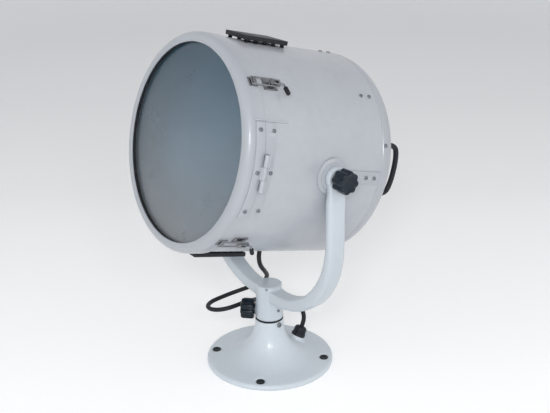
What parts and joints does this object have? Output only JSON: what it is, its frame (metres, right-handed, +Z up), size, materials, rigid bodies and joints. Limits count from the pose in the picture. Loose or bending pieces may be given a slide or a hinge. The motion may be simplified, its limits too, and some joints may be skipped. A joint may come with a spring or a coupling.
{
  "type": "marine searchlight",
  "caption": "Round deck searchlight tilting in a cast yoke on a bolted pedestal, with a hinged and latched glass door, locking knobs, vents, rear handles and a lamp lead.",
  "frame": {"origin": "centre of the base's underside, on the bolt circle's centre", "axes": "+Z up along the train axis, the light looks along -Y, and +X is the hinge side"},
  "size_m": [0.4552, 0.4261, 0.6433],
  "materials": {
    "white_paint": "semi-gloss marine enamel",
    "black_rubber": "matt",
    "black_plastic": "satin",
    "steel": "brushed",
    "bush": "plain",
    "ceramic": "glazed",
    "reflector_metal": "polished",
    "window_glass": "toughened",
    "bulb_glass": "clear",
    "zinc": "zinc plated"
  },
  "bodies": {
    "base": {"pedestal_base": "white_paint", "swivel_spindle": "steel", "spindle_nut": "zinc", "spindle_lower_nut": "zinc", "swivel_seal": "black_rubber", "spindle_lock_screw": "steel", "base_gland": "black_plastic", "base_gland_nut": "black_plastic", "cable_lower": "black_rubber"},
    "yoke": {"yoke": "white_paint", "swivel_bushes": "bush", "hub_cap": "white_paint", "hub_cap_screws": "steel", "grease_plug": "steel", "brake_pad": "bush", "tilt_bushes": "bush", "tilt_washers": "black_rubber", "cable_upper": "black_rubber"},
    "train_lock": {"train_lock_stud": "steel", "train_lock_knob": "black_plastic"},
    "drum": {"drum_shell": "white_paint", "rear_cover": "white_paint", "drum_screws": "steel", "rear_handles": "black_plastic", "trunnion_plates": "white_paint", "trunnion_studs": "steel", "trunnion_nuts": "zinc", "vent_covers": "black_plastic", "vent_spacers": "black_plastic", "drum_gland": "black_plastic", "drum_gland_nut": "black_plastic", "reflector": "reflector_metal", "lamp_bracket": "white_paint", "lamp_holder": "ceramic", "lamp_bulb": "bulb_glass", "terminal_block": "ceramic", "door_seal": "black_rubber", "hinge_drum_leaf": "white_paint", "hinge_pin": "steel", "latch_bases": "steel", "latch_pins": "steel"},
    "door": {"door_ring": "white_paint", "door_glass": "window_glass", "glass_gasket": "black_rubber", "glass_retainer": "white_paint", "latch_keepers": "steel", "hinge_door_leaf": "white_paint", "hinge_door_screws": "steel"},
    "tilt_lock_right": {"tilt_knob_right": "black_plastic"},
    "tilt_lock_left": {"tilt_knob_left": "black_plastic"},
    "lever_upper_right": {"latch_lever_upper_right": "steel"},
    "link_upper_right": {"latch_link_upper_right": "steel"},
    "lever_upper_left": {"latch_lever_upper_left": "steel"},
    "link_upper_left": {"latch_link_upper_left": "steel"},
    "lever_lower_right": {"latch_lever_lower_right": "steel"},
    "link_lower_right": {"latch_link_lower_right": "steel"},
    "lever_lower_left": {"latch_lever_lower_left": "steel"},
    "link_lower_left": {"latch_link_lower_left": "steel"}
  },
  "joints": [
    {"name": "train", "type": "hinge", "parent": "base", "child": "yoke", "pos_m": [0, 0, 0.0913], "axis": [0, 0, 1], "range_deg": [-60, 60], "deforming": ["cable_lower"]},
    {"name": "tilt", "type": "hinge", "parent": "yoke", "child": "drum", "pos_m": [0, 0, 0.423], "axis": [1, 0, 0], "range_deg": [-45, 45], "deforming": ["cable_upper"]},
    {"name": "train_lock_turn", "type": "hinge", "parent": "yoke", "child": "train_lock", "pos_m": [0, 0, 0.104], "axis": [-0.7071, -0.7071, 0], "range_deg": [0, 180]},
    {"name": "tilt_lock_right_turn", "type": "hinge", "parent": "drum", "child": "tilt_lock_right", "pos_m": [0.21, 0, 0.423], "axis": [1, 0, 0], "range_deg": [0, 180]},
    {"name": "tilt_lock_left_turn", "type": "hinge", "parent": "drum", "child": "tilt_lock_left", "pos_m": [-0.21, 0, 0.423], "axis": [-1, 0, 0], "range_deg": [0, 180]},
    {"name": "door_swing", "type": "hinge", "parent": "drum", "child": "door", "pos_m": [0.1902, -0.14022, 0.45953], "axis": [0, 0.2521, 0.9677], "range_deg": [0, 105]},
    {"name": "latch_lever_upper_right_swing", "type": "hinge", "parent": "drum", "child": "lever_upper_right", "pos_m": [0.13364, -0.08341, 0.58283], "axis": [0.7071, -0.1782, -0.6843], "range_deg": [0, 130]},
    {"name": "latch_link_upper_right_swing", "type": "hinge", "parent": "lever_upper_right", "child": "link_upper_right", "pos_m": [0.13315, -0.07611, 0.58042], "axis": [0.7071, -0.1782, -0.6843], "range_deg": [-130, 0]},
    {"name": "latch_lever_upper_left_swing", "type": "hinge", "parent": "drum", "child": "lever_upper_left", "pos_m": [-0.13364, -0.08341, 0.58283], "axis": [0.7071, 0.1782, 0.6843], "range_deg": [0, 130]},
    {"name": "latch_link_upper_left_swing", "type": "hinge", "parent": "lever_upper_left", "child": "link_upper_left", "pos_m": [-0.13315, -0.07611, 0.58042], "axis": [0.7071, 0.1782, 0.6843], "range_deg": [-130, 0]},
    {"name": "latch_lever_lower_right_swing", "type": "hinge", "parent": "drum", "child": "lever_lower_right", "pos_m": [0.13364, -0.15078, 0.32417], "axis": [-0.7071, -0.1782, -0.6843], "range_deg": [0, 130]},
    {"name": "latch_link_lower_right_swing", "type": "hinge", "parent": "lever_lower_right", "child": "link_lower_right", "pos_m": [0.13315, -0.14324, 0.32272], "axis": [-0.7071, -0.1782, -0.6843], "range_deg": [-130, 0]},
    {"name": "latch_lever_lower_left_swing", "type": "hinge", "parent": "drum", "child": "lever_lower_left", "pos_m": [-0.13364, -0.15078, 0.32417], "axis": [-0.7071, 0.1782, 0.6843], "range_deg": [0, 130]},
    {"name": "latch_link_lower_left_swing", "type": "hinge", "parent": "lever_lower_left", "child": "link_lower_left", "pos_m": [-0.13315, -0.14324, 0.32272], "axis": [-0.7071, 0.1782, 0.6843], "range_deg": [-130, 0]}
  ],
  "couplings": [
    {"joint": "latch_link_upper_right_swing", "follows": "latch_lever_upper_right_swing", "ratio": -1},
    {"joint": "latch_link_upper_left_swing", "follows": "latch_lever_upper_left_swing", "ratio": -1},
    {"joint": "latch_link_lower_right_swing", "follows": "latch_lever_lower_right_swing", "ratio": -1},
    {"joint": "latch_link_lower_left_swing", "follows": "latch_lever_lower_left_swing", "ratio": -1}
  ]
}
